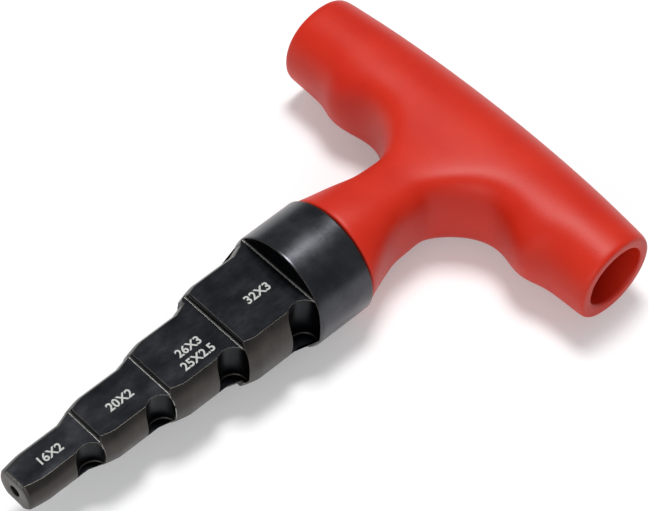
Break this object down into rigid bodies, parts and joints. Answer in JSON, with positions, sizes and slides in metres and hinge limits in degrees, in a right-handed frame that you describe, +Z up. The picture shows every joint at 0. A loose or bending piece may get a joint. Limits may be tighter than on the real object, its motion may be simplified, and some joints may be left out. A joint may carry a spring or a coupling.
{
  "type": "pipe calibrator",
  "caption": "Stepped black steel pipe calibrator with a red moulded T-handle, for rounding and deburring multilayer pipe ends",
  "frame": {"origin": "the point under the middle of the tool's bounding box, on the plane that the collar and the tool's box rest on, with the tool lying and its flats level", "axes": "+Y runs along the tool from the tip to the handle's back, +X runs along the crossbar, +Z is up, square to the milled flats"},
  "size_m": [0.1, 0.1538, 0.0301],
  "materials": {
    "black_steel": "burnished black, satin",
    "turned_steel": "plain turned",
    "red_plastic": "satin moulded"
  },
  "bodies": {
    "root": {"calibrating_mandrel": "black_steel", "drive_stud": "turned_steel", "handle_moulding": "red_plastic"}
  },
  "joints": []
}
